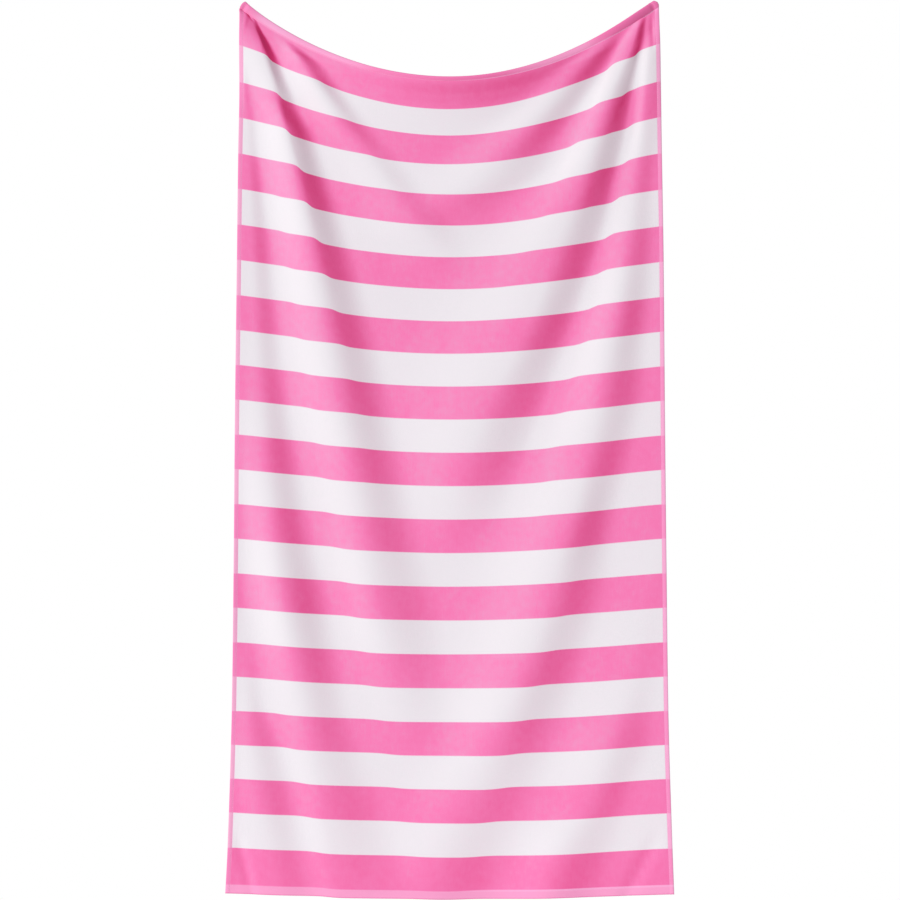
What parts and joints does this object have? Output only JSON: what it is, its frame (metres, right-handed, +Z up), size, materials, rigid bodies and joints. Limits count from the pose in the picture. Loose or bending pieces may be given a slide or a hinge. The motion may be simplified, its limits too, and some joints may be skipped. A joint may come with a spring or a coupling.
{
  "type": "beach towel",
  "caption": "Long cotton beach towel with crosswise stripes, hung by its top corners: the top edge sags between them and soft folds fan out down the cloth.",
  "frame": {"origin": "middle of the line between the two gripped points, 9 mm below the tips of the top corners, on the line of the long edges", "axes": "+Z up along the hanging cloth, -Y forward to the side that the folds stand towards, +X to the right seen from the front"},
  "size_m": [0.763, 0.0439, 1.5266],
  "materials": {
    "striped_cotton": "velour terry cotton in pink and white crosswise stripes"
  },
  "bodies": {
    "root": {"towel": "striped_cotton"}
  },
  "joints": []
}
